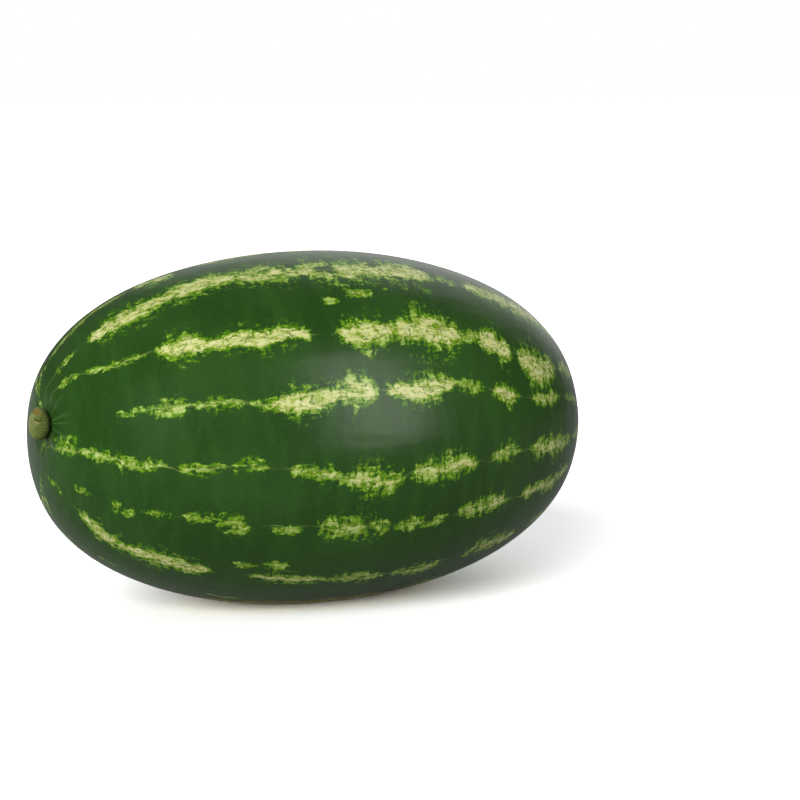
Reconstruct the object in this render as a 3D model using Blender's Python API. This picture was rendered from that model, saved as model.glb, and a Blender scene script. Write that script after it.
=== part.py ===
"""An oblong watermelon, as picked, lying on its side on the small flat spot under its belly.

Two parts: the whole fruit, and the stub of stem that is left on it. The fruit's axis lies along X, with
the stem end at -X and the blossom end at +X. Metres, +Z up. The box of the two parts is centred on the
origin, and its underside is at Z = 0.
"""

import math

import bmesh
import bpy
from mathutils import Matrix, Vector

# The fruit's outline is |x / half length| ** END_POWER + |r / half diameter| ** SIDE_POWER = 1, with x along
# the axis and r out from it. Two powers of 2 would be an ellipse, and more gives fuller shoulders.
FRUIT_LENGTH = 0.334
FRUIT_DIAMETER = 0.210
END_POWER = 2.07
SIDE_POWER = 2.46
FRUIT_SEGMENTS = 60  # round the axis
FRUIT_RINGS = 40  # along it

# The fruit settles under its own weight on a flat spot this much above its roundest line.
REST_SPOT_RISE = 0.001

# The stem stands off the axis, on the end face.
STEM_ACROSS = -0.0230  # from the axis, along Y
STEM_UP = 0.0137  # from the axis, along Z
STEM_WIDTH = 0.0205
STEM_TALL = 0.0190
STEM_HEIGHT = 0.0086  # from the seat to the highest point, before the end is cut
STEM_POWER = 2.6
STEM_SEGMENTS = 30
STEM_RINGS = 20
STEM_RIBS = 5
STEM_RIB_DEPTH = 0.05  # share of the radius
STEM_CUT_TILT = math.radians(14.0)
STEM_CUT_HEIGHT = 0.0078  # where the cut crosses the stem's axis

# Shallow round dimples with flat floors: the stem's seat, and the scar of the blossom.
SEAT_FLOOR_RADIUS = 0.0115
SEAT_MOUTH_RADIUS = 0.0170
SEAT_DEPTH = 0.0012
SCAR_FLOOR_RADIUS = 0.0035
SCAR_MOUTH_RADIUS = 0.0080
SCAR_DEPTH = 0.0010
DIMPLE_SEGMENTS = 40
CUTTER_TALLNESS = 3.0  # of a dimple's cutter, in depths of the dimple

JOINT_GAP = 0.0003  # between the stem's foot and its seat

SHARP_ANGLE = math.radians(35.0)  # an edge that bends more than this stays sharp


def clear_scene():
    for obj in list(bpy.data.objects):
        bpy.data.objects.remove(obj, do_unlink=True)


def new_collection(name):
    collection = bpy.data.collections.new(name)
    bpy.context.scene.collection.children.link(collection)
    return collection


def new_material(name, colour, roughness):
    material = bpy.data.materials.new(name)
    material.use_nodes = True
    shader = material.node_tree.nodes["Principled BSDF"]
    shader.inputs["Base Color"].default_value = (*colour, 1.0)
    shader.inputs["Roughness"].default_value = roughness
    shader.inputs["Metallic"].default_value = 0.0
    return material


def add_object(name, bm, collection, parent):
    """Makes the bmesh an object of that name, smooth shaded with its cut edges kept sharp."""
    mesh = bpy.data.meshes.new(name)
    bm.to_mesh(mesh)
    bm.free()
    mesh.shade_smooth()
    mesh.set_sharp_from_angle(angle=SHARP_ANGLE)
    obj = bpy.data.objects.new(name, mesh)
    obj.parent = parent
    collection.objects.link(obj)
    return obj


def shaped_sphere(segments, rings, shape):
    """A unit sphere whose every vertex goes where shape sends it."""
    bm = bmesh.new()
    bmesh.ops.create_uvsphere(bm, u_segments=segments, v_segments=rings, radius=1.0)
    for vert in bm.verts:
        vert.co = shape(vert.co)
    return bm


def cut_flat(bm, point, normal):
    """Cuts off everything past a plane and closes the cut with one flat face."""
    everything = bm.verts[:] + bm.edges[:] + bm.faces[:]
    cut = bmesh.ops.bisect_plane(bm, geom=everything, plane_co=point, plane_no=normal, clear_outer=True)
    rim = [item for item in cut["geom_cut"] if isinstance(item, bmesh.types.BMEdge)]
    bmesh.ops.contextual_create(bm, geom=rim)
    bmesh.ops.recalc_face_normals(bm, faces=bm.faces[:])


def signed_power(value, power):
    return math.copysign(abs(value) ** power, value)


def fruit_point(unit):
    """The point of the fruit for a point of the unit sphere whose poles are at +-Z."""
    out = math.hypot(unit.x, unit.y)
    along = 0.5 * FRUIT_LENGTH * signed_power(unit.z, 2.0 / END_POWER)
    radius = 0.5 * FRUIT_DIAMETER * out ** (2.0 / SIDE_POWER)
    if out < 1e-6:
        return Vector((along, 0.0, 0.0))
    return Vector((along, radius * unit.x / out, radius * unit.y / out))


def stem_frame():
    """Where the stem meets the skin: its foot, with local Z out of the fruit and local Y up the end face."""
    half_length = 0.5 * FRUIT_LENGTH
    half_diameter = 0.5 * FRUIT_DIAMETER
    radius = math.hypot(STEM_ACROSS, STEM_UP)
    share = (radius / half_diameter) ** SIDE_POWER
    along = -half_length * (1.0 - share) ** (1.0 / END_POWER)
    slope_x = -END_POWER / half_length * (-along / half_length) ** (END_POWER - 1.0)
    slope_r = SIDE_POWER / half_diameter * (radius / half_diameter) ** (SIDE_POWER - 1.0)
    outward = Vector((slope_x, slope_r * STEM_ACROSS / radius, slope_r * STEM_UP / radius)).normalized()
    side = Vector((0.0, 0.0, 1.0)).cross(outward).normalized()
    upward = outward.cross(side)
    turn = Matrix((side, upward, outward)).transposed().to_4x4()
    return Matrix.Translation((along, STEM_ACROSS, STEM_UP)) @ turn


def make_fruit(collection, frame):
    bm = shaped_sphere(FRUIT_SEGMENTS, FRUIT_RINGS, fruit_point)
    lowest = -0.5 * FRUIT_DIAMETER + REST_SPOT_RISE
    cut_flat(bm, Vector((0.0, 0.0, lowest)), Vector((0.0, 0.0, -1.0)))
    fruit = add_object("fruit", bm, collection, frame)
    fruit.data.materials.append(new_material("waxy_rind", (0.028, 0.085, 0.018), 0.34))
    return fruit


def make_dimple(name, floor_radius, mouth_radius, depth, place, collection, frame):
    """A cone cutter whose floor lies depth below the skin, and whose wall flares as it rises through it."""
    flare = (mouth_radius - floor_radius) / depth
    tall = CUTTER_TALLNESS * depth
    bm = bmesh.new()
    bmesh.ops.create_cone(
        bm,
        cap_ends=True,
        segments=DIMPLE_SEGMENTS,
        radius1=floor_radius,
        radius2=floor_radius + flare * tall,
        depth=tall,
    )
    bmesh.ops.translate(bm, verts=bm.verts[:], vec=(0.0, 0.0, 0.5 * tall - depth))
    bmesh.ops.transform(bm, matrix=place, verts=bm.verts[:])
    cutter = add_object(name, bm, collection, frame)
    cutter.hide_render = True
    cutter.display_type = "WIRE"
    return cutter


def cut_with(obj, cutter):
    modifier = obj.modifiers.new(cutter.name, "BOOLEAN")
    modifier.operation = "DIFFERENCE"
    modifier.solver = "EXACT"
    modifier.object = cutter


def stem_point(unit):
    """A full, ribbed knob: the unit sphere pushed out to a squarer one by STEM_POWER, then ribbed round Z."""
    size = sum(abs(value) ** STEM_POWER for value in unit) ** (1.0 / STEM_POWER)
    rib = 1.0 + STEM_RIB_DEPTH * math.cos(STEM_RIBS * math.atan2(unit.y, unit.x)) * math.hypot(unit.x, unit.y)
    half = Vector((0.5 * STEM_WIDTH * rib, 0.5 * STEM_TALL * rib, STEM_HEIGHT))
    return Vector(part * unit_part / size for part, unit_part in zip(half, unit))


def make_stem_stub(place, collection, frame):
    """The knob is cut flat at its foot, just clear of the seat, and on a slant where the stem broke off."""
    bm = shaped_sphere(STEM_SEGMENTS, STEM_RINGS, stem_point)
    cut_flat(bm, Vector((0.0, 0.0, JOINT_GAP)), Vector((0.0, 0.0, -1.0)))
    slant = Vector((0.0, math.sin(STEM_CUT_TILT), math.cos(STEM_CUT_TILT)))
    cut_flat(bm, Vector((0.0, 0.0, STEM_CUT_HEIGHT)), slant)
    seat_floor = Matrix.Translation((0.0, 0.0, -SEAT_DEPTH))
    bmesh.ops.transform(bm, matrix=place @ seat_floor, verts=bm.verts[:])
    stem = add_object("stem_stub", bm, collection, frame)
    stem.data.materials.append(new_material("dry_stem", (0.190, 0.185, 0.060), 0.72))
    return stem


def box_of(objects):
    """The lowest and highest corners of the finished meshes together."""
    graph = bpy.context.evaluated_depsgraph_get()
    corners = []
    for obj in objects:
        finished = obj.evaluated_get(graph)
        corners += [finished.matrix_world @ vert.co for vert in finished.data.vertices]
    low = Vector(min(corner[axis] for corner in corners) for axis in range(3))
    high = Vector(max(corner[axis] for corner in corners) for axis in range(3))
    return low, high


def main():
    clear_scene()
    parts = new_collection("watermelon")
    cutters = new_collection("watermelon_cutters")
    frame = bpy.data.objects.new("watermelon_frame", None)
    parts.objects.link(frame)

    stem_place = stem_frame()
    blossom_place = Matrix.Translation((0.5 * FRUIT_LENGTH, 0.0, 0.0)) @ Matrix.Rotation(0.5 * math.pi, 4, "Y")
    fruit = make_fruit(parts, frame)
    seat = make_dimple(
        "stem_seat_cutter", SEAT_FLOOR_RADIUS, SEAT_MOUTH_RADIUS, SEAT_DEPTH, stem_place, cutters, frame
    )
    scar = make_dimple(
        "blossom_scar_cutter", SCAR_FLOOR_RADIUS, SCAR_MOUTH_RADIUS, SCAR_DEPTH, blossom_place, cutters, frame
    )
    cut_with(fruit, seat)
    cut_with(fruit, scar)
    stem = make_stem_stub(stem_place, parts, frame)

    low, high = box_of([fruit, stem])
    middle = 0.5 * (low + high)
    frame.location = (-middle.x, -middle.y, -low.z)
    bpy.context.view_layer.update()


main()
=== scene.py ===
"""A whole oblong watermelon on a pale floor: the looks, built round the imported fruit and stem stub.

The skin and the stem stub are surfaces worked out on grids. The skin carries the melon's own markings as
attributes of its vertices, and its material breaks them up into mottled, feathery patches.
"""

import math

import bpy
import numpy as np
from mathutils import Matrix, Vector


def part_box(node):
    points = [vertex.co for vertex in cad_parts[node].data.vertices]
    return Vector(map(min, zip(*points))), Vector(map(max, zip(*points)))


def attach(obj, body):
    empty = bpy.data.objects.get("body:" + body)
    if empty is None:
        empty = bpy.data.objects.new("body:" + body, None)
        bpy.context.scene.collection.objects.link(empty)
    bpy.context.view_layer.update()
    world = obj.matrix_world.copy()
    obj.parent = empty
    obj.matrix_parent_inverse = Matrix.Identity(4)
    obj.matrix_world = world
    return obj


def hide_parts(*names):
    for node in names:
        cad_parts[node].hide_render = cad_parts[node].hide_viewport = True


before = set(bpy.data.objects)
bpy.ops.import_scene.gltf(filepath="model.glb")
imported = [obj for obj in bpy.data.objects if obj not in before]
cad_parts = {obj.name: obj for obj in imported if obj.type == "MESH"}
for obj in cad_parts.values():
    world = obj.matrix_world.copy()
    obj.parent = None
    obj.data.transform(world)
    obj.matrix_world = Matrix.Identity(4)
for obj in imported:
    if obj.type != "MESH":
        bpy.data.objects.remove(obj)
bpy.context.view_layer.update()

MM = 0.001

# The fruit's outline: |x / half length| ** END_POWER + |r / radius| ** SIDE_POWER = 1.
FRUIT_LOW, FRUIT_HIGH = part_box("fruit")
RADIUS = 0.5 * (FRUIT_HIGH.y - FRUIT_LOW.y)
HALF_LENGTH = 0.5 * (FRUIT_HIGH.x - FRUIT_LOW.x)
CENTRE = Vector((0.5 * (FRUIT_LOW.x + FRUIT_HIGH.x), 0.0, FRUIT_HIGH.z - RADIUS))
END_POWER = 2.07
SIDE_POWER = 2.46
SKIN_RINGS = 300
SKIN_SEGMENTS = 300

# The skin's slow shapes: the heights of its lengthwise lobes and of its lumps, and how far it is drawn in to
# make room for them.
LOBE_HEIGHT = 0.30 * MM
LUMP_HEIGHT = 0.22 * MM
DRAWN_IN = 0.25 * MM

# The dish that the stem stands in, from the end of its floor to its rim, and the folds that run out of it.
DISH_FLOOR = 10.0 * MM
DISH_RIM = 19.0 * MM
FOLD_COUNT = 13.0
FOLD_DEPTH = 0.18 * MM
FOLDS_BEGIN = (6.0 * MM, 10.0 * MM)
FOLDS_END = (12.0 * MM, 25.0 * MM)

# The blossom's scar, from the end of its floor to its rim.
SCAR_FLOOR = 3.0 * MM
SCAR_RIM = 9.0 * MM
SCAR_DEPTH = 1.0 * MM

# The stem stub's place on the end face, from the middle of its packed box.
STEM_LOW, STEM_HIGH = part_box("stem_stub")
STEM_DEPTH = 1.2 * MM  # how far its seat is sunk into the skin
STEM_WIDTH = 20.6 * MM
STEM_TALL = 18.6 * MM
STEM_MIDDLE = 3.7 * MM  # out from the seat's floor, where the knob is widest
STEM_HALF_HEIGHT = 3.9 * MM
STEM_POWER = 2.5
STEM_RINGS = 110
STEM_SEGMENTS = 170
RIB_COUNT = 27.0
RIB_START = 0.7

# What the stem's broken end shows, all in millimetres, from the middle of the end: sideways first, then up.
SLIT_AT = (2.0, 2.3)
SLIT_FALL = 0.06  # down, for each millimetre sideways
SLIT_WIDTH = 0.55
CRACK_ACROSS = 6.9
CRACK_WIDTH = 0.65
LIP_BELOW_SLIT = 0.9
LIP_ACROSS = 4.6
LIP_HALF_LENGTH = 2.4
SWELLING_AT = (-1.0, -4.0)
SWELLING_RADIUS = 20.0**0.5
SWELLING_HEIGHT = 0.5
LIP_HEIGHT = 0.35
SLIT_DEPTH = 0.7
PATCH_DEPTH = 0.45

# The camera: its turn towards the stem end, its height as an angle, its distance, and how far its aim is
# moved to the right and up from the fruit's centre, in metres.
CAMERA_TURN = math.radians(-20.5)
CAMERA_RISE = math.radians(8.0)
CAMERA_DISTANCE = 1.328
CAMERA_AIM_SIDEWAYS = 0.0549
CAMERA_AIM_RISE = 0.0160
CAMERA_LENS = 100.0  # millimetres, on a sensor 36 across
SENSOR_WIDTH = 36.0

# The floor's paleness: as it is seen, as it lights the fruit from below, and as the rind mirrors it.
FLOOR_SHOWN = 2.35
FLOOR_BOUNCE = 0.38
FLOOR_MIRRORED = 0.52
FLOOR_HALF_WIDTH = 60.0

# The room: its brightness in reflections, in front and at its brightest direction, and its even light.
ROOM_FRONT = 0.08
ROOM_BACK = 0.95
ROOM_BRIGHTEST = (0.55, 0.70, 0.45)
ROOM_BRIGHT_FROM = 0.76  # the cosine of the angle from the brightest direction at which it starts to glow
ROOM_AMBIENT = 0.36

# The lamps, by their direction from the fruit. The key's spread is in degrees, and the softbox in metres.
KEY_TOWARDS = (-0.64, -0.70, 0.36)
KEY_SPREAD = 40.0
KEY_STRENGTH = 2.60
SOFTBOX_TOWARDS = (0.34, -0.82, 0.37)
SOFTBOX_DISTANCE = 2.2
SOFTBOX_WIDTH = 0.7
SOFTBOX_HEIGHT = 1.9
SOFTBOX_POWER = 20.0

# The rows of pale marking. A row's angle is round the fruit, 0 at the front and 90 at the top. Each patch is
# its start and end as shares of the length from the stem end, its lift from the row's line in degrees, its
# half breadth in millimetres, and its paleness.
ROWS = {
    68: (
        (0.03, 0.06, -4, 3, 0.6),
        (0.085, 0.22, -1, 8, 0.9),
        (0.20, 0.34, 2, 8, 0.9),
        (0.32, 0.46, 1, 10.5, 0.75),
        (0.44, 0.60, -1, 13, 0.85),
        (0.58, 0.69, 1, 12, 0.9),
        (0.70, 0.74, -2, 6, 0.5),
        (0.75, 0.96, -5, 10, 0.8),
        (0.965, 0.992, -2, 3, 0.6),
    ),
    40: (
        (0.03, 0.06, 9, 3, 0.6),
        (0.07, 0.16, 2, 2.5, 0.6),
        (0.175, 0.26, 1, 7, 0.9),
        (0.25, 0.425, -1, 6, 0.92),
        (0.47, 0.58, -2, 9, 0.85),
        (0.575, 0.70, -1, 11, 0.92),
        (0.69, 0.74, -2, 5, 0.6),
        (0.735, 0.80, -4, 9, 0.95),
        (0.81, 0.90, -12, 11, 0.85),
        (0.915, 0.960, -5, 5, 0.7),
        (0.970, 0.992, 0, 3, 0.6),
    ),
    18: (
        (0.10, 0.15, 1, 2.5, 0.5),
        (0.15, 0.22, 1, 5, 0.64),
        (0.22, 0.30, 0, 3.8, 0.62),
        (0.31, 0.35, -1, 3, 0.60),
        (0.34, 0.47, -1, 7, 0.90),
        (0.45, 0.525, 1, 9, 0.8),
        (0.54, 0.67, 1, 6, 0.95),
        (0.67, 0.73, 2, 5, 0.55),
        (0.745, 0.80, -1, 6, 0.8),
        (0.83, 0.90, -3, 5, 0.7),
        (0.92, 0.965, 0, 3.5, 0.6),
        (0.974, 0.990, 1, 2.5, 0.5),
    ),
    -5: (
        (0.02, 0.045, 8, 4, 0.65),
        (0.045, 0.18, 3, 4, 0.62),
        (0.19, 0.265, 1, 3.6, 0.60),
        (0.275, 0.335, 3, 4.8, 0.58),
        (0.37, 0.47, -1, 5, 0.66),
        (0.465, 0.57, -4, 8.5, 0.70),
        (0.58, 0.71, -2, 6.5, 0.72),
        (0.74, 0.80, 1, 5, 0.7),
        (0.82, 0.93, -1, 6, 0.75),
        (0.945, 0.990, 0, 3.5, 0.65),
    ),
    -24: (
        (0.04, 0.065, 2, 2.5, 0.5),
        (0.09, 0.13, 0, 5, 0.4),
        (0.13, 0.19, 1, 3, 0.3),
        (0.20, 0.26, 2, 3.6, 0.56),
        (0.25, 0.31, 1, 6.8, 0.58),
        (0.34, 0.40, -1, 3.2, 0.58),
        (0.42, 0.55, 0, 8.5, 0.62),
        (0.56, 0.66, -2, 5, 0.58),
        (0.68, 0.79, 1, 6, 0.7),
        (0.81, 0.94, -1, 5, 0.75),
        (0.950, 0.987, 1, 3, 0.6),
    ),
    -46: (
        (0.01, 0.03, 14, 2.5, 0.45),
        (0.055, 0.14, 0, 5.5, 0.82),
        (0.12, 0.26, 0, 6.5, 0.86),
        (0.33, 0.46, -1, 4.6, 0.78),
        (0.46, 0.57, -2, 5.5, 0.70),
        (0.58, 0.68, -3, 5.5, 0.68),
        (0.72, 0.83, 0, 7, 0.8),
        (0.86, 0.95, -2, 5, 0.7),
        (0.960, 0.990, 0, 3, 0.55),
    ),
    -68: (
        (0.09, 0.15, 0, 2.5, 0.40),
        (0.64, 0.76, 1, 5, 0.65),
        (0.80, 0.92, -1, 5, 0.7),
        (0.955, 0.988, 0, 3, 0.55),
    ),
}
# Small patches that stand off the rows: angle, start, end, half breadth in millimetres, and paleness.
ISLANDS = (
    (73, 0.22, 0.27, 4, 0.6),
    (51, 0.46, 0.49, 4, 0.55),
    (54, 0.51, 0.56, 5, 0.65),
    (56, 0.58, 0.60, 3, 0.55),
    (57, 0.66, 0.68, 3, 0.6),
    (-41, 0.29, 0.335, 3.5, 0.52),
    (-40, 0.34, 0.39, 5, 0.60),
    (-67, 0.27, 0.34, 4, 0.5),
    (9, 0.02, 0.05, 4, 0.45),
)
# Bare places inside the rows: the same, with how bare they are in the place of the paleness.
GAPS = (
    (68.5, 0.478, 0.512, 5.5, 0.95),
    (33, 0.59, 0.62, 5, 0.5),
)

# The rows of the side that is turned away, and the seed of the chance that places their patches.
HIDDEN_ROW_ANGLES = (91, 114, 137, 160, 183, 206, 229, 252, 273)
HIDDEN_ROW_SEED = 11
# What chance may give such a row: where its first patch starts, how long its patches and the gaps between
# them are, as shares of the length, and its patches' lift, half breadth and paleness as above.
FIRST_STARTS = (0.03, 0.06)
PATCH_LENGTHS = (0.06, 0.22)
PATCH_SPACES = (0.0, 0.01, 0.04)
LAST_START = 0.9
LAST_END = 0.955
LIFTS = (-2.0, 2.0)
BREADTHS = (4.0, 9.0)
PALENESSES = (0.6, 1.0)
# The same for the two small patches at a hidden row's very ends.
END_PATCH_STARTS = (0.004, 0.012)
END_PATCH_ENDS = (0.985, 0.994)
END_LIFTS = (-4.0, 4.0)
END_BREADTHS = (2.5, 3.5)
END_PALENESSES = (0.5, 0.7)
# The hidden rows bend near the stem end, so that they meet at the stem and not at the fruit's axis.
BEND_REACH = 75.0 * MM
BEND_PULL = 1.4
BEND_FROM = (85.0, 130.0)  # rows at these angles start to bend, and bend fully
BEND_TO = (255.0, 295.0)  # and at these they bend less, and no longer

# How a patch ends, as shares of the length, and how the faint scatter beside it compares with its body.
PATCH_BLUNT = 0.010
LONE_PATCH_BLUNT = 0.012
SCATTER_BLUNT = 0.025
SCATTER_WIDTH = 2.1
SCATTER_COVER = 0.35

# The veins: how far they may stray from a row's line, how pale a patch has to be for one, how bluntly they
# end, and how far from the axis they begin at the stem end.
VEIN_REACH = (5.0 * MM, 9.0 * MM)
VEIN_PALENESS = (0.52, 0.66)
VEIN_BLUNT = 0.02
VEIN_FADE = (14.0 * MM, 30.0 * MM)
HIDDEN_VEIN_FADE = (30.0 * MM, 60.0 * MM)

# Where the ends' own colours fade out, from the stem's axis and from the blossom's.
NEAR_STEM = (10.0 * MM, 30.0 * MM)
CORKY = (1.5 * MM, 6.5 * MM)

# The pale spot where the belly lay on the earth: half its turn round the fruit, in radians, half its share of
# the length, and where it fades out, as shares of those halves.
BELLY_HALF_TURN = 0.42
BELLY_HALF_SHARE = 0.30
BELLY_FADE = (0.5, 1.4)


def smooth(low, high, value):
    """0 below low, 1 above high, and an S curve between. With low above high it falls instead."""
    share = np.clip((value - low) / (high - low), 0.0, 1.0)
    return share * share * (3.0 - 2.0 * share)


def ridge(distance, width):
    """1 on a line or a point, falling away from it as the bell curve of that half width."""
    return np.exp(-((distance / width) ** 2))


def unit(vector):
    return np.array(vector, float) / np.linalg.norm(vector)


def outline_point(across, rise):
    """The point of the stem end's outline, from the fruit's centre, at that Y and Z."""
    share = (math.hypot(across, rise) / RADIUS) ** SIDE_POWER
    return np.array((-HALF_LENGTH * (1.0 - share) ** (1.0 / END_POWER), across, rise))


def outline_normal(point):
    """The outline's outward direction: the slope of its left side as it grows."""
    radius = math.hypot(point[1], point[2])
    slope_x = END_POWER / HALF_LENGTH * abs(point[0] / HALF_LENGTH) ** (END_POWER - 1.0)
    slope_r = SIDE_POWER / RADIUS * (radius / RADIUS) ** (SIDE_POWER - 1.0)
    return unit((math.copysign(slope_x, point[0]), slope_r * point[1] / radius, slope_r * point[2] / radius))


def stem_axes():
    """The foot of the stem's axis on the outline, and its side, upward and outward directions there.

    The foot is moved a few times, each time back along the outward direction from the box's middle."""
    middle = 0.5 * (STEM_LOW + STEM_HIGH)
    across = middle.y - CENTRE.y
    rise = middle.z - CENTRE.z
    foot = outline_point(across, rise)
    for _ in range(4):
        outward = outline_normal(foot)
        reach = (middle.x - CENTRE.x - foot[0]) / outward[0]
        foot = outline_point(across - reach * outward[1], rise - reach * outward[2])
    side = unit(np.cross((0.0, 0.0, 1.0), outward))
    return foot, side, np.cross(outward, side), outward


STEM_FOOT, STEM_SIDE, STEM_UPWARD, STEM_OUTWARD = stem_axes()


def from_stem(points):
    """How far the points are from the stem's axis: sideways, upward, and straight."""
    offset = points - STEM_FOOT
    side = offset @ STEM_SIDE
    upward = offset @ STEM_UPWARD
    return side, upward, np.hypot(side, upward)


def grid(rings, segments):
    """The two parameters of a closed skin at every ring and segment, with the two poles last."""
    turn = (np.arange(rings) + 0.5) / rings * np.pi
    around = np.arange(segments) / segments * 2.0 * np.pi
    turn_grid, around_grid = np.meshgrid(turn, around, indexing="ij")
    turn_all = np.concatenate((turn_grid.ravel(), (0.0, np.pi)))
    around_all = np.concatenate((around_grid.ravel(), (0.0, 0.0)))
    return turn_all, around_all


def tube_faces(rings, segments):
    """The faces of a closed skin: rows of quads between the rings, and a fan to a single pole at each end.

    The first ring's points come first, and the two poles last."""
    ring = np.arange(rings - 1)[:, None] * segments
    here = np.arange(segments)[None, :]
    after = (here + 1) % segments
    quads = np.stack((ring + here, ring + segments + here, ring + segments + after, ring + after), axis=-1)
    quads = quads.reshape(-1, 4)
    first_pole = rings * segments
    last = (rings - 1) * segments
    here = here[0]
    after = after[0]
    start = np.stack((np.full(segments, first_pole), here, after), axis=-1)
    end = np.stack((np.full(segments, first_pole + 1), last + after, last + here), axis=-1)
    return quads, np.concatenate((start, end))


def add_mesh(name, points, quads, triangles=()):
    """A smooth mesh object in the scene, its faces as lists of four and of three corners."""
    mesh = bpy.data.meshes.new(name)
    mesh.from_pydata(points.tolist(), [], [*np.asarray(quads).tolist(), *np.asarray(triangles).tolist()])
    mesh.shade_smooth()
    obj = bpy.data.objects.new(name, mesh)
    bpy.context.scene.collection.objects.link(obj)
    return obj


def set_attribute(mesh, name, values):
    """Stores one number, or three, for each vertex."""
    values = np.asarray(values, np.float32)
    if values.ndim == 1:
        mesh.attributes.new(name, "FLOAT", "POINT").data.foreach_set("value", values)
    else:
        mesh.attributes.new(name, "FLOAT_VECTOR", "POINT").data.foreach_set("vector", values.ravel())


def skin_surface(turn, around):
    """Points of the skin, from the fruit's centre.

    turn runs from 0 at the stem end's pole to pi at the blossom end's, and around is the angle round the
    axis, 0 at the front. x is the half length times cos(turn), and r the radius times sin(turn), each raised
    to 2 over the outline's power. Slow lumps and faint lengthwise lobes then move r, the stem's dish with
    its folds and the blossom's scar are pressed in, and the belly is flat where the fruit rests."""
    x = -HALF_LENGTH * np.sign(np.cos(turn)) * np.abs(np.cos(turn)) ** (2.0 / END_POWER)
    r = RADIUS * np.abs(np.sin(turn)) ** (2.0 / SIDE_POWER)
    body = np.sin(turn) ** 0.7
    lobes = np.cos(8.0 * around + 0.6 * np.sin(2.0 * turn)) + 0.6 * np.cos(5.0 * around + 1.3)
    lumps = np.sin(3.0 * turn + 2.0 * around) + 0.7 * np.sin(7.0 * turn - 3.0 * around + 1.0)
    r = r + body * (LOBE_HEIGHT * lobes + LUMP_HEIGHT * lumps - DRAWN_IN)
    points = np.stack((x, -r * np.cos(around), r * np.sin(around)), axis=-1)

    side, upward, reach = from_stem(points)
    stem_turn = np.arctan2(upward, side)
    dish = STEM_DEPTH * (1.0 - smooth(DISH_FLOOR, DISH_RIM, reach))
    folds = FOLD_DEPTH * np.cos(FOLD_COUNT * stem_turn + 0.8 * np.sin(3.0 * stem_turn))
    folds = folds * smooth(*FOLDS_BEGIN, reach) * (1.0 - smooth(*FOLDS_END, reach))
    near = points[:, 0] < 0.0
    points = points - (near * (dish + folds))[:, None] * STEM_OUTWARD

    scar_reach = np.hypot(points[:, 1], points[:, 2])
    points[:, 0] -= SCAR_DEPTH * (points[:, 0] > 0.0) * (1.0 - smooth(SCAR_FLOOR, SCAR_RIM, scar_reach))
    points[:, 2] = np.maximum(points[:, 2], -CENTRE.z)
    return points


def made_up_rows():
    """Rows for the side that is turned away, with patches of the same kind.

    A row is filled from the stem end with patches and spaces of chance lengths, until its last start. One
    small patch at each end of the row then leads it up to the stem and to the blossom's scar."""
    chance = np.random.default_rng(HIDDEN_ROW_SEED)
    rows = {}
    for angle in HIDDEN_ROW_ANGLES:
        patches = []
        start = chance.uniform(*FIRST_STARTS)
        while start < LAST_START:
            end = min(start + chance.uniform(*PATCH_LENGTHS), LAST_END)
            lift = chance.uniform(*LIFTS)
            patches.append((start, end, lift, chance.uniform(*BREADTHS), chance.uniform(*PALENESSES)))
            start = end + chance.choice(PATCH_SPACES)
        stem_patch = (chance.uniform(*END_PATCH_STARTS), 0.03)
        blossom_patch = (0.965, chance.uniform(*END_PATCH_ENDS))
        for start, end in (stem_patch, blossom_patch):
            lift = chance.uniform(*END_LIFTS)
            patches.append((start, end, lift, chance.uniform(*END_BREADTHS), chance.uniform(*END_PALENESSES)))
        rows[angle] = patches
    return rows


def patch_ends(share, start, end, blunt):
    """1 between the patch's ends and 0 past them."""
    return smooth(start - blunt, start + blunt, share) * (1.0 - smooth(end - blunt, end + blunt, share))


def degrees_off(around, line):
    """How far round the fruit a point is from a line, from -180 to 180 degrees."""
    return (np.degrees(around) - line + 180.0) % 360.0 - 180.0


def bent(points, bend):
    """The angle round the fruit and the distance from its axis, with the axis pulled over to the stem.

    The pull is full at the stem end's middle and fades with the distance from the axis as an S curve."""
    r = np.hypot(points[:, 1], points[:, 2])
    pull = bend * BEND_PULL * (points[:, 0] < 0.0) * (1.0 - smooth(0.0, BEND_REACH, r))
    y = points[:, 1] - pull * STEM_FOOT[1]
    z = points[:, 2] - pull * STEM_FOOT[2]
    return np.arctan2(z, -y), np.hypot(y, z)


def lone_patch(points, share, angle, start, end, breadth):
    """A patch that belongs to no row: 1 on its line, and 1 less the square of the distance beside it."""
    around, r = bent(points, 0.0)
    distance = np.radians(degrees_off(around, angle)) * r / (breadth * MM)
    return np.clip(1.0 - distance**2, 0.0, 1.0) * patch_ends(share, start, end, LONE_PATCH_BLUNT)


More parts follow.
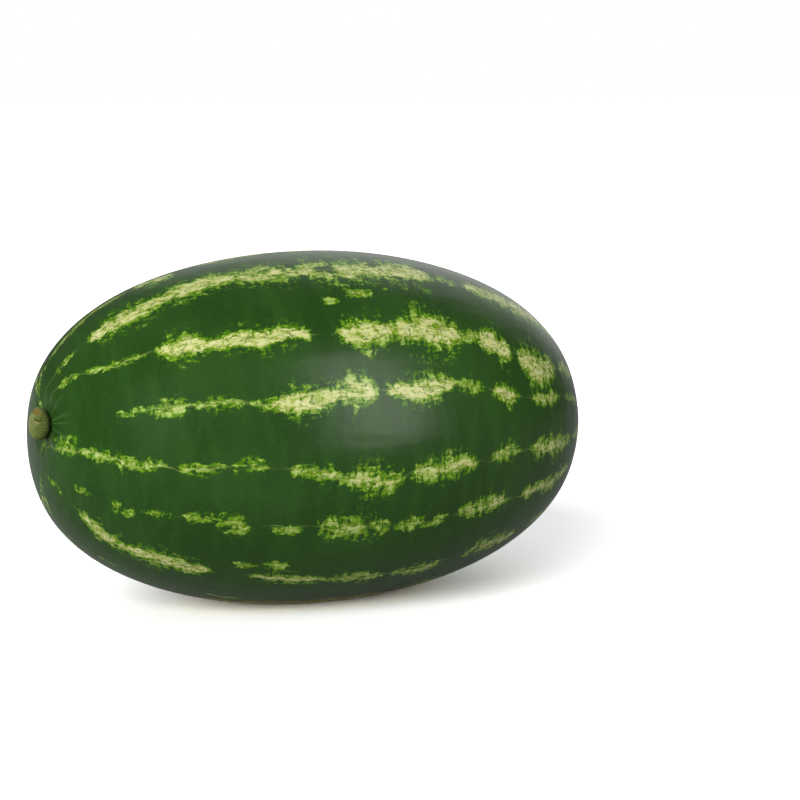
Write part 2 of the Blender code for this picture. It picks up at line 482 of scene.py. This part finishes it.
def marking(points, share):
    """Three numbers for each point: the cover of pale marking, the vein's distance in metres, its strength.

    A row follows a line that passes through its patches' middles and wanders a little. The rows of the
    hidden side also bend towards the stem. A patch is 1 on its row's line and falls to 0 at its half
    breadth, as 1 less the square of the distance, inside a faint wide scatter. Where patches meet, the
    stronger counts. The vein runs along the line of the nearest row, and fades out before the stem."""
    cover = np.zeros_like(share)
    vein = np.ones_like(share)
    strength = np.zeros_like(share)
    from_axis = np.hypot(points[:, 1], points[:, 2])
    for angle, row in {**ROWS, **made_up_rows()}.items():
        bend = smooth(*BEND_FROM, angle) * (1.0 - smooth(*BEND_TO, angle))
        around, r = bent(points, bend)
        fade = HIDDEN_VEIN_FADE if angle in HIDDEN_ROW_ANGLES else VEIN_FADE
        clear = np.where(points[:, 0] < 0.0, smooth(*fade, from_axis), 1.0)
        row = sorted(row, key=lambda patch: patch[0] + patch[1])
        middles = [0.5 * (patch[0] + patch[1]) for patch in row]
        line = angle + np.interp(share, middles, [patch[2] for patch in row])
        line = line + 0.4 * np.sin(31.0 * share + angle) + 0.3 * np.sin(73.0 * share + 2.0 * angle)
        distance = np.radians(degrees_off(around, line)) * r
        beside = 1.0 - smooth(*VEIN_REACH, np.abs(distance))
        for start, end, _, breadth, pale in row:
            middle = np.clip((share - start) / (end - start), 0.04, 0.96)
            width = breadth * MM * (0.50 + 0.85 * np.sin(np.pi * middle) ** 0.6)
            body = np.clip(1.0 - (distance / width) ** 2, 0.0, 1.0)
            scatter = np.clip(1.0 - (distance / (SCATTER_WIDTH * width)) ** 2, 0.0, 1.0)
            body = body * patch_ends(share, start, end, PATCH_BLUNT)
            scatter = scatter * patch_ends(share, start, end, SCATTER_BLUNT)
            cover = np.maximum(cover, pale * np.maximum(body, SCATTER_COVER * scatter))
            slim = pale * min(1.2, max(0.3, 1.6 - 0.2 * breadth)) * smooth(*VEIN_PALENESS, pale)
            strength = np.maximum(strength, clear * slim * beside * patch_ends(share, start, end, VEIN_BLUNT))
        vein = np.where(np.abs(distance) < np.abs(vein), distance, vein)
    for angle, start, end, breadth, pale in ISLANDS:
        cover = np.maximum(cover, pale * lone_patch(points, share, angle, start, end, breadth))
    for angle, start, end, breadth, depth in GAPS:
        cover = cover * (1.0 - depth * lone_patch(points, share, angle, start, end, breadth))
    return cover, vein, strength


class Value:
    """A shader socket in an expression. Arithmetic on it adds Math nodes to its material."""

    def __init__(self, nodes, socket):
        self.nodes = nodes
        self.socket = socket

    def math(self, operation, *others):
        return self.nodes.add("Math", {"operation": operation}, dict(enumerate(others)))

    def __add__(self, other):
        return self.math("ADD", self, other)

    def __radd__(self, other):
        return self.math("ADD", other, self)

    def __sub__(self, other):
        return self.math("SUBTRACT", self, other)

    def __rsub__(self, other):
        return self.math("SUBTRACT", other, self)

    def __mul__(self, other):
        return self.math("MULTIPLY", self, other)

    def __rmul__(self, other):
        return self.math("MULTIPLY", other, self)

    def size(self):
        return self.math("ABSOLUTE", self)

    def or_more(self, other):
        """The larger of the two."""
        return self.math("MAXIMUM", self, other)

    def rise(self, low, high):
        """0 below low, 1 above high, and an S curve between. With low above high it falls instead."""
        settings = {"interpolation_type": "SMOOTHSTEP"}
        return self.nodes.add("MapRange", settings, {"Value": self, "From Min": low, "From Max": high})


class Nodes:
    """The nodes of a material, or of the room round the fruit."""

    def __init__(self, owner):
        owner.use_nodes = True
        self.tree = owner.node_tree

    def plug(self, socket, value):
        if isinstance(value, Value):
            self.tree.links.new(value.socket, socket)
        elif socket.type == "RGBA" and len(value) == 3:
            socket.default_value = (*value, 1.0)
        else:
            socket.default_value = value

    def add(self, kind, settings, inputs, output=0):
        """Any node: its settings are set first, then its sockets get values or links."""
        node = self.tree.nodes.new("ShaderNode" + kind)
        for name, setting in settings.items():
            if name == "stops":
                self.set_stops(node.color_ramp, setting)
            else:
                setattr(node, name, setting)
        for name, value in inputs.items():
            self.plug(node.inputs[name], value)
        return Value(self, node.outputs[output])

    @staticmethod
    def set_stops(ramp, stops):
        while len(ramp.elements) < len(stops):
            ramp.elements.new(0.5)
        for element, (position, colour) in zip(ramp.elements, stops):
            element.position = position
            element.color = (*colour, 1.0)

    def attribute(self, name, output="Fac"):
        return self.add("Attribute", {"attribute_name": name}, {}, output)

    def part_of(self, vector, axis):
        return self.add("SeparateXYZ", {}, {0: vector}, axis)

    def ramp(self, stops, place):
        return self.add("ValToRGB", {"stops": stops}, {0: place})

    def scaled(self, vector, scale):
        return self.add("VectorMath", {"operation": "MULTIPLY"}, {0: vector, 1: scale})

    def moved(self, vector, offset):
        return self.add("VectorMath", {"operation": "ADD"}, {0: vector, 1: offset})

    def noise(self, vector, scale, detail, roughness, output="Fac"):
        """A noise of that many waves a metre: one number, or three where it is drawn out one way."""
        if isinstance(scale, tuple):
            vector = self.scaled(vector, scale)
            scale = 1.0
        inputs = {"Vector": vector, "Scale": scale, "Detail": detail, "Roughness": roughness}
        return self.add("TexNoise", {}, inputs, output)

    def warp(self, vector, scale, amount):
        """The vector pushed about by a soft noise of that scale, by up to that many metres each way."""
        push = self.noise(vector, scale, 1.0, 0.5, "Color")
        centred = self.moved(push, (-0.5, -0.5, -0.5))
        return self.moved(vector, self.scaled(centred, (2.0 * amount,) * 3))

    def mix(self, share, first, second):
        return self.add("Mix", {"data_type": "RGBA"}, {0: share, 6: first, 7: second}, 2)

    def bump(self, height, distance, strength):
        return self.add("Bump", {}, {"Height": height, "Distance": distance, "Strength": strength})


class Finish(Nodes):
    """A material being made: its nodes, and the Principled shader that they feed."""

    def __init__(self, name):
        self.material = bpy.data.materials.new(name)
        super().__init__(self.material)
        self.shader = self.tree.nodes["Principled BSDF"]

    def set(self, **inputs):
        for name, value in inputs.items():
            self.plug(self.shader.inputs[name.replace("_", " ")], value)


def linear(red, green, blue):
    """A display colour, 0 to 255, as the light it stands for."""
    shares = (red / 255.0, green / 255.0, blue / 255.0)
    return tuple(c / 12.92 if c < 0.04045 else ((c + 0.055) / 1.055) ** 2.4 for c in shares)


# The rind's colours. A row of stops runs from the edge of the marking inwards.
GROUND_DEEP = linear(37, 71, 22)
GROUND_LIGHT = linear(46, 81, 30)
GROUND_BAND = linear(52, 92, 32)
GROUND_FLECK = linear(56, 100, 24)
FRINGE_STOPS = ((0.22, linear(46, 100, 12)), (0.44, linear(84, 138, 14)), (0.70, linear(150, 174, 50)))
FAINT_STOPS = ((0.34, linear(74, 124, 22)), (0.50, linear(112, 154, 42)), (0.62, linear(168, 198, 98)))
CREAM_STOPS = ((0.40, linear(164, 184, 80)), (0.62, linear(204, 211, 130)), (1.0, linear(224, 225, 162)))
CRACK_IN_FRINGE = linear(42, 86, 18)
CRACK_IN_FAINT = linear(48, 94, 20)
CRACK_IN_CREAM = linear(92, 128, 34)
VEIN_CREAM = linear(188, 206, 110)
TWIG_GREEN = linear(130, 170, 56)
STEM_RAY_PALE = linear(120, 150, 92)
STEM_RAY_DARK = linear(18, 44, 14)
CORK_DARK = linear(96, 74, 40)
CORK_PALE = linear(178, 150, 96)
BELLY_YELLOW = linear(196, 186, 96)

# The stem's colours.
STEM_OLIVE = linear(92, 108, 42)
STEM_PALE_OLIVE = linear(126, 138, 74)
# Painted shade for the stem's foot, where it sits in its seat.
STEM_FOOT_PAINTED_SHADE = linear(34, 46, 16)
# Painted shade for the grooves between the stem's ribs.
STEM_GROOVE_SHADE = linear(48, 60, 20)
# Painted shade for one side of the stem, and painted light for the other side.
STEM_FIBRE = linear(150, 152, 96)
STEM_SHADED_SIDE = linear(62, 78, 28)
STEM_LIT_SIDE = linear(162, 168, 116)
STEM_PATCH_DARK = linear(96, 76, 28)
STEM_PATCH_PALE = linear(150, 124, 62)
STEM_LIP = linear(182, 164, 116)
STEM_SLIT = linear(66, 40, 14)

# How fine each part of the rind's pattern is, in waves a metre. Where there are three numbers, the first is
# along the melon, so a low one draws the pattern out lengthwise and a high one draws it out round the fruit.
SOFT_SCALE = 70.0  # the soft and the torn warp, which push the rest about by these distances
SOFT_PUSH = 2.5 * MM
TORN_SCALE = 260.0
TORN_PUSH = 1.8 * MM
LOBES_SCALE = 125.0
TEETH_SCALE = (430.0, 100.0, 100.0)
STREAKS_SCALE = (80.0, 430.0, 430.0)
SPECKS_SCALE = 480.0
VEIN_SCALE = 60.0
TWIG_SCALE = 80.0
CRACK_SCALE = (70.0, 200.0, 200.0)
PLEAT_SCALE = (120.0, 420.0, 420.0)
BROAD_SCALE = 16.0
BAND_SCALE = (110.0, 30.0, 30.0)
FLECK_SCALE = 420.0
FLECK_WARP_SCALE = 120.0
FLECK_PUSH = 3.0 * MM
CREASE_SCALE = (22.0, 95.0, 95.0)
SWELL_SCALE = (90.0, 24.0, 24.0)
RAYS_SCALE = 9.0  # on the direction from the stem, so in waves a turn and not a metre
CORK_SCALE = 900.0
BELLY_SCALE = 60.0

# The same for the stem, where the third number is along it.
MOTTLE_SCALE = 420.0
FIBRE_SCALE = (1500.0, 1500.0, 260.0)

# Teeth, which run round the fruit, grow and streaks, which run along it, shrink between these places.
FAR_HALF = (-110.0 * MM, 20.0 * MM)
VEIN_WANDER = 10.0 * MM  # from the row's line, to both sides together
TWIG_PLACE = (0.3, 0.3, 0.3)  # moves the twigs' noise away from the veins'
VEIN_WIDTH = (0.2 * MM, 0.8 * MM)
TWIG_WIDTH = (0.1 * MM, 0.7 * MM)
# Between these values of the torn cover the green fringe comes in, and then the cream core.
FRINGE_BEGINS = (0.24, 0.40)
CORE_BEGINS = (0.64, 0.71)
# Between these values of the smooth cover a patch goes from faint and green to ripe and cream.
RIPENS = (0.46, 0.78)

RIND_ROUGHNESS = 0.27
RIND_IOR = 1.34
RIND_RELIEF = 0.6 * MM
STEM_ROUGHNESS = 0.55
STEM_IOR = 1.35
STEM_RELIEF = 0.4 * MM


def ground_colour(finish, grain, soft, broad):
    """The dark green ground, a little uneven, with faint bands round the fruit and fine flecks."""
    banding = finish.noise(soft, BAND_SCALE, 1.0, 0.5)
    fine = finish.noise(finish.warp(grain, FLECK_WARP_SCALE, FLECK_PUSH), FLECK_SCALE, 2.0, 0.5)
    ground = finish.mix(broad.rise(0.3, 0.7), GROUND_DEEP, GROUND_LIGHT)
    ground = finish.mix(banding.rise(0.4, 0.75) * 0.4, ground, GROUND_BAND)
    return finish.mix(fine.rise(0.5, 0.75) * 0.25, ground, GROUND_FLECK)


def add_marking(finish, grain, torn, ground):
    """The ground with the pale marking on it, and the cover of the marking's cream core.

    Noise is added to the cover that the vertices carry, so that the patch's edge is torn. Where the sum
    passes a first value the green fringe begins, and past a second one the cream core. Cracks are where
    a noise is near its middle value, and a vein where the distance from its line is nearly nothing."""
    cover = finish.attribute("cover")
    lobes = finish.noise(torn, LOBES_SCALE, 4.0, 0.6) - 0.5
    teeth = finish.noise(torn, TEETH_SCALE, 3.0, 0.6) - 0.5
    streaks = finish.noise(torn, STREAKS_SCALE, 3.0, 0.6) - 0.5
    specks = finish.noise(torn, SPECKS_SCALE, 2.0, 0.5) - 0.5
    edge = 1.0 - cover.rise(0.55, 1.0) * 0.35
    far_half = finish.part_of(grain, "X").rise(*FAR_HALF)
    torn_edge = teeth * (0.7 + far_half * 1.1) + streaks * (2.1 - far_half * 0.6)
    shape = cover + edge * (lobes * 1.3 + torn_edge)

    wobble = (finish.noise(grain, VEIN_SCALE, 2.0, 0.5) - 0.5) * VEIN_WANDER
    branch = (finish.noise(finish.moved(grain, TWIG_PLACE), TWIG_SCALE, 2.0, 0.5) - 0.5) * VEIN_WANDER
    vein = finish.attribute("vein")
    strength = finish.attribute("vein_strength")
    line = (1.0 - (vein + wobble).size().rise(*VEIN_WIDTH)) * strength
    twig = (1.0 - (vein + branch).size().rise(*TWIG_WIDTH)) * strength

    near = cover.rise(0.10, 0.30)
    fringe = (shape + specks * 0.9).rise(*FRINGE_BEGINS) * near
    core = (shape + specks * 0.55 + line * 0.2).rise(*CORE_BEGINS) * near

    valley = (finish.noise(torn, CRACK_SCALE, 2.0, 0.5) - 0.5).size()
    crack = (1.0 - valley.rise(0.008, 0.030)) * (teeth + 0.5).rise(0.40, 0.52)
    pleat = (finish.noise(torn, PLEAT_SCALE, 1.0, 0.5) - 0.5).size()
    crack = crack.or_more((1.0 - pleat.rise(0.01, 0.045)) * (lobes + 0.5).rise(0.62, 0.44))

    ripe = cover.rise(*RIPENS)
    faint = finish.ramp(FAINT_STOPS, streaks + teeth + 0.5)
    cream = finish.mix(ripe, faint, finish.ramp(CREAM_STOPS, shape * 0.7 + 0.05 + streaks * 1.5))
    cream = finish.mix(crack * 0.85, cream, finish.mix(ripe, CRACK_IN_FAINT, CRACK_IN_CREAM))
    green = finish.mix(crack * 0.6, finish.ramp(FRINGE_STOPS, shape + specks * 0.5), CRACK_IN_FRINGE)

    colour = finish.mix(fringe, ground, green)
    colour = finish.mix(twig * 0.45, colour, TWIG_GREEN)
    colour = finish.mix(line * 0.9, colour, VEIN_CREAM)
    return finish.mix(core, colour, cream), core


def add_ends_and_belly(finish, grain, colour):
    """The rind with pale and dark rays out from the stem, the blossom's corky scar, and the yellow belly."""
    place = finish.attribute("stem_place", "Vector")
    towards = finish.add("VectorMath", {"operation": "NORMALIZE"}, {0: place})
    rays = finish.noise(towards, (RAYS_SCALE,) * 3, 2.0, 0.5)
    near_stem = finish.attribute("near_stem")
    colour = finish.mix(near_stem * rays.rise(0.52, 0.70) * 0.25, colour, STEM_RAY_PALE)
    colour = finish.mix(near_stem * (1.0 - rays.rise(0.30, 0.46)) * 0.35, colour, STEM_RAY_DARK)

    cork = finish.mix(finish.noise(grain, CORK_SCALE, 4.0, 0.65), CORK_DARK, CORK_PALE)
    colour = finish.mix(finish.attribute("scar").rise(0.35, 0.75), colour, cork)

    spot = finish.attribute("ground_spot") + (finish.noise(grain, BELLY_SCALE, 4.0, 0.6) - 0.5) * 0.7
    return finish.mix(spot.rise(0.35, 0.75) * 0.85, colour, BELLY_YELLOW)


def rind_material():
    """The dark ground, the pale marking with its jagged cream core, green fringe and veins, and the ends.

    The rind is waxy, so it mirrors a little, and shallow creases and swells break up the reflection."""
    finish = Finish("waxy_striped_rind")
    grain = finish.attribute("grain", "Vector")
    soft = finish.warp(grain, SOFT_SCALE, SOFT_PUSH)
    torn = finish.warp(soft, TORN_SCALE, TORN_PUSH)
    broad = finish.noise(grain, BROAD_SCALE, 2.0, 0.5)
    ground = ground_colour(finish, grain, soft, broad)
    colour, core = add_marking(finish, grain, torn, ground)
    colour = add_ends_and_belly(finish, grain, colour)

    creases = finish.noise(soft, CREASE_SCALE, 1.0, 0.5)
    swells = finish.noise(grain, SWELL_SCALE, 1.0, 0.5)
    relief = finish.bump(creases * 0.9 + swells * 0.45 + core * 0.03, RIND_RELIEF, 0.7)
    finish.set(Base_Color=colour, Roughness=RIND_ROUGHNESS + (broad - 0.5) * 0.08, Normal=relief)
    finish.set(IOR=RIND_IOR)
    return finish.material


def make_skin():
    """The whole fruit's skin as one closed surface, with the marking and the ends as its attributes."""
    turn, around = grid(SKIN_RINGS, SKIN_SEGMENTS)
    points = skin_surface(turn, around)
    skin = add_mesh("melon_skin", points + np.array(CENTRE), *tube_faces(SKIN_RINGS, SKIN_SEGMENTS))

    share = 0.5 + 0.5 * points[:, 0] / HALF_LENGTH
    r = np.hypot(points[:, 1], points[:, 2])
    angle = np.arctan2(points[:, 2], -points[:, 1])
    cover, vein, strength = marking(points, share)
    along = np.arcsin(np.clip(points[:, 0] / HALF_LENGTH, -1, 1)) * HALF_LENGTH
    side, upward, reach = from_stem(points)
    near_stem = (points[:, 0] < 0.0) * (1.0 - smooth(*NEAR_STEM, reach))
    scar = (points[:, 0] > 0.0) * (1.0 - smooth(*CORKY, r))
    belly = np.hypot((angle + 0.5 * np.pi) / BELLY_HALF_TURN, (share - 0.5) / BELLY_HALF_SHARE)
    set_attribute(skin.data, "cover", cover)
    set_attribute(skin.data, "vein", vein)
    set_attribute(skin.data, "vein_strength", strength)
    set_attribute(skin.data, "grain", np.stack((along, points[:, 1], points[:, 2]), axis=-1))
    set_attribute(skin.data, "stem_place", np.stack((side, upward, 0.0 * side), axis=-1))
    set_attribute(skin.data, "near_stem", near_stem)
    set_attribute(skin.data, "scar", scar)
    set_attribute(skin.data, "ground_spot", 1.0 - smooth(*BELLY_FADE, belly))
    skin.data.materials.append(rind_material())
    return skin


def stem_surface(turn, around):
    """Points of the stem stub in its own frame: side, upward, and out from the seat's floor.

    turn runs from 0 at the tip to pi at the foot. Each direction is a power of its sine or cosine, which
    fills the knob out. Fine ribs run up the wall, and the knob is a little lobed. The broken end keeps a low
    dry patch above, a slit with a thin lip along its lower edge, a crack that runs up from the slit's end,
    and a round swelling below. After the points come how much of a slit, lip and patch each one is, and how
    deep in a groove between the ribs it is, which is where the stem gets painted shade."""
    wall = np.abs(np.sin(turn)) ** (2.0 / STEM_POWER)
    rise = np.sign(np.cos(turn)) * np.abs(np.cos(turn)) ** (2.0 / STEM_POWER)
    on_wall = smooth(0.55, 0.95, np.sin(turn))
    rib_wave = np.cos(RIB_COUNT * around + RIB_START)
    ribs = 1.0 + on_wall * (0.010 * rib_wave + 0.012 * np.cos(9.0 * around + 2.0))
    lobed = 1.0 + 0.035 * np.cos(2.0 * around + 1.0) + 0.02 * np.cos(3.0 * around + 0.4)
    side = 0.5 * STEM_WIDTH * wall * np.cos(around) * ribs * lobed
    upward = 0.5 * STEM_TALL * wall * np.sin(around) * ribs * lobed
    out = STEM_MIDDLE + STEM_HALF_HEIGHT * rise

    u = side / MM
    v = upward / MM
    tip = smooth(0.25, 0.75, rise)
    slit_line = v - SLIT_AT[1] + SLIT_FALL * (u - SLIT_AT[0])
    slit = ridge(slit_line, SLIT_WIDTH) * smooth(-1.0, 2.5, u) * smooth(7.6, 6.8, u)
    crack_line = u - CRACK_ACROSS - 0.25 * np.sin(1.6 * v)
    slit = np.maximum(slit, ridge(crack_line, CRACK_WIDTH) * smooth(0.8, 2.0, v) * smooth(6.4, 5.0, v))
    lip = ridge(slit_line + LIP_BELOW_SLIT, SLIT_WIDTH) * ridge(u - LIP_ACROSS, LIP_HALF_LENGTH)
    swelling = ridge(np.hypot(u - SWELLING_AT[0], v - SWELLING_AT[1]), SWELLING_RADIUS)
    patch = smooth(4.4, 6.0, v + 0.4 * np.sin(1.1 * u)) * smooth(7.5, 5.5, u)
    wrinkles = 0.09 * np.sin(2.9 * u + 1.7 * np.sin(0.9 * v)) + 0.07 * np.sin(3.7 * v + 2.0 * np.sin(1.1 * u))
    raised = SWELLING_HEIGHT * swelling + LIP_HEIGHT * lip + wrinkles
    out = out + MM * tip * (raised - SLIT_DEPTH * slit - PATCH_DEPTH * patch)
    # How deep in a groove between the ribs each point is: the mask for the painted shade there.
    rib = on_wall * (0.5 - 0.5 * rib_wave)
    return side, upward, np.maximum(out, 0.0), tip * slit, tip * lip, tip * patch, rib


def stem_material():
    """Olive green and matt, with a brown dry patch, painted shade at the foot, in the grooves between the
    ribs and on one side, and painted light on the other side.
    """
    finish = Finish("dry_stem")
    grain = finish.attribute("stem_grain", "Vector")
    across = finish.part_of(grain, "X")
    height = finish.part_of(grain, "Z")
    mottle = finish.noise(grain, MOTTLE_SCALE, 4.0, 0.65)
    fibres = finish.noise(grain, FIBRE_SCALE, 3.0, 0.6)
    colour = finish.mix(mottle.rise(0.35, 0.65), STEM_OLIVE, STEM_PALE_OLIVE)
    # Painted shade at the stem's foot, darkest where it sits in its seat.
    colour = finish.mix((1.0 - height.rise(0.5 * MM, 4.5 * MM)) * 0.75, colour, STEM_FOOT_PAINTED_SHADE)
    # Painted shade in the grooves between the ribs.
    colour = finish.mix(finish.attribute("rib") * 0.65, colour, STEM_GROOVE_SHADE)
    colour = finish.mix(fibres.rise(0.5, 0.75) * 0.35, colour, STEM_FIBRE)
    # Painted shade on one side of the stem, and painted light on the other side.
    colour = finish.mix(across.rise(1.0 * MM, 9.5 * MM) * 0.55, colour, STEM_SHADED_SIDE)
    colour = finish.mix((1.0 - across.rise(-5.0 * MM, 4.0 * MM)) * 0.45, colour, STEM_LIT_SIDE)
    patch = (finish.attribute("dry_patch") + (mottle - 0.5) * 0.8).rise(0.25, 0.75)
    colour = finish.mix(patch * 0.8, colour, finish.mix(fibres, STEM_PATCH_DARK, STEM_PATCH_PALE))
    colour = finish.mix(finish.attribute("lip") * 0.7, colour, STEM_LIP)
    colour = finish.mix(finish.attribute("slit").rise(0.3, 0.9) * 0.75, colour, STEM_SLIT)
    relief = finish.bump(fibres * 0.6 + mottle * 0.4, STEM_RELIEF, 0.8)
    finish.set(Base_Color=colour, Roughness=STEM_ROUGHNESS + mottle * 0.25, Normal=relief)
    finish.set(IOR=STEM_IOR)
    return finish.material


def make_stem():
    """The dry stub of the stem, broken off short, standing in its seat."""
    turn, around = grid(STEM_RINGS, STEM_SEGMENTS)
    side, upward, out, slit, lip, patch, rib = stem_surface(turn, around)
    local = np.stack((side, upward, out - STEM_DEPTH), axis=-1)
    points = STEM_FOOT + local @ np.stack((STEM_SIDE, STEM_UPWARD, STEM_OUTWARD))
    stem = add_mesh("stem_knob", points + np.array(CENTRE), *tube_faces(STEM_RINGS, STEM_SEGMENTS))
    for name, values in (("slit", slit), ("lip", lip), ("dry_patch", patch), ("rib", rib)):
        set_attribute(stem.data, name, values)
    set_attribute(stem.data, "stem_grain", local)
    stem.data.materials.append(stem_material())
    return stem


def make_floor():
    """A wide pale floor. It shows bright and gives the fruit's underside only a little light back."""
    half = FLOOR_HALF_WIDTH
    corners = np.array(((-half, -half, 0), (half, -half, 0), (half, half, 0), (-half, half, 0)), float)
    floor = add_mesh("pale_floor", corners, ((0, 1, 2, 3),))
    finish = Finish("pale_floor")
    seen = finish.add("LightPath", {}, {}, "Is Camera Ray")
    mirrored = finish.add("LightPath", {}, {}, "Is Glossy Ray")
    colour = finish.mix(mirrored, (FLOOR_BOUNCE,) * 3, (FLOOR_MIRRORED,) * 3)
    finish.set(Base_Color=finish.mix(seen, colour, (FLOOR_SHOWN,) * 3), Roughness=1.0)
    finish.set(Specular_IOR_Level=0.0)
    floor.data.materials.append(finish.material)


def make_camera():
    """A long lens at table height, turned a little towards the stem end."""
    right = Vector((math.cos(CAMERA_TURN), math.sin(CAMERA_TURN), 0.0))
    level = math.cos(CAMERA_RISE)
    back = Vector((math.sin(CAMERA_TURN) * level, -math.cos(CAMERA_TURN) * level, math.sin(CAMERA_RISE)))
    aim = CENTRE + CAMERA_AIM_SIDEWAYS * right + Vector((0.0, 0.0, CAMERA_AIM_RISE))
    data = bpy.data.cameras.new("camera")
    data.lens = CAMERA_LENS
    data.sensor_width = SENSOR_WIDTH
    camera = bpy.data.objects.new("camera", data)
    camera.location = aim + CAMERA_DISTANCE * back
    camera.rotation_euler = (-back).to_track_quat("-Z", "Y").to_euler()
    bpy.context.scene.collection.objects.link(camera)
    bpy.context.scene.camera = camera


def make_room():
    """A pale room: white to the camera, even and dim as light, and in reflections bright above and behind."""
    world = bpy.data.worlds.new("pale_room")
    room = Nodes(world)
    direction = room.add("TexCoord", {}, {}, "Generated")
    towards = room.add("VectorMath", {"operation": "DOT_PRODUCT"}, {0: direction, 1: ROOM_BRIGHTEST}, "Value")
    mirrored = ROOM_FRONT + towards.rise(ROOM_BRIGHT_FROM, 1.0) * (ROOM_BACK - ROOM_FRONT)
    in_gloss = room.add("LightPath", {}, {}, "Is Glossy Ray")
    in_camera = room.add("LightPath", {}, {}, "Is Camera Ray")
    strength = mirrored * in_gloss + ROOM_AMBIENT * (1.0 - in_gloss)
    strength = strength * (1.0 - in_camera) + in_camera
    surface = room.tree.nodes["Background"]
    room.plug(surface.inputs["Color"], (1.0, 1.0, 1.0))
    room.plug(surface.inputs["Strength"], strength)
    bpy.context.scene.world = world


def make_key_light():
    """The main light: an even, soft sun from the front left. The rind doesn't mirror it."""
    data = bpy.data.lights.new("key", "SUN")
    data.angle = math.radians(KEY_SPREAD)
    data.energy = KEY_STRENGTH
    lamp = bpy.data.objects.new("key", data)
    lamp.visible_glossy = False
    lamp.rotation_euler = Vector(KEY_TOWARDS).to_track_quat("Z", "Y").to_euler()
    bpy.context.scene.collection.objects.link(lamp)


def make_softbox():
    """A tall lamp that faces the fruit. The rind mirrors it as a soft sheen, and it lights nothing else."""
    data = bpy.data.lights.new("tall_softbox", "AREA")
    data.shape = "RECTANGLE"
    data.size = SOFTBOX_WIDTH
    data.size_y = SOFTBOX_HEIGHT
    data.energy = SOFTBOX_POWER
    lamp = bpy.data.objects.new("tall_softbox", data)
    lamp.visible_diffuse = False
    direction = Vector(SOFTBOX_TOWARDS).normalized()
    lamp.location = CENTRE + SOFTBOX_DISTANCE * direction
    lamp.rotation_euler = direction.to_track_quat("Z", "Y").to_euler()
    bpy.context.scene.collection.objects.link(lamp)


make_camera()
make_room()
make_key_light()
make_softbox()
bpy.context.scene.view_settings.view_transform = "Standard"
make_floor()
skin = make_skin()
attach(skin, "root")
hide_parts("fruit")
stem = make_stem()
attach(stem, "root")
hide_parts("stem_stub")
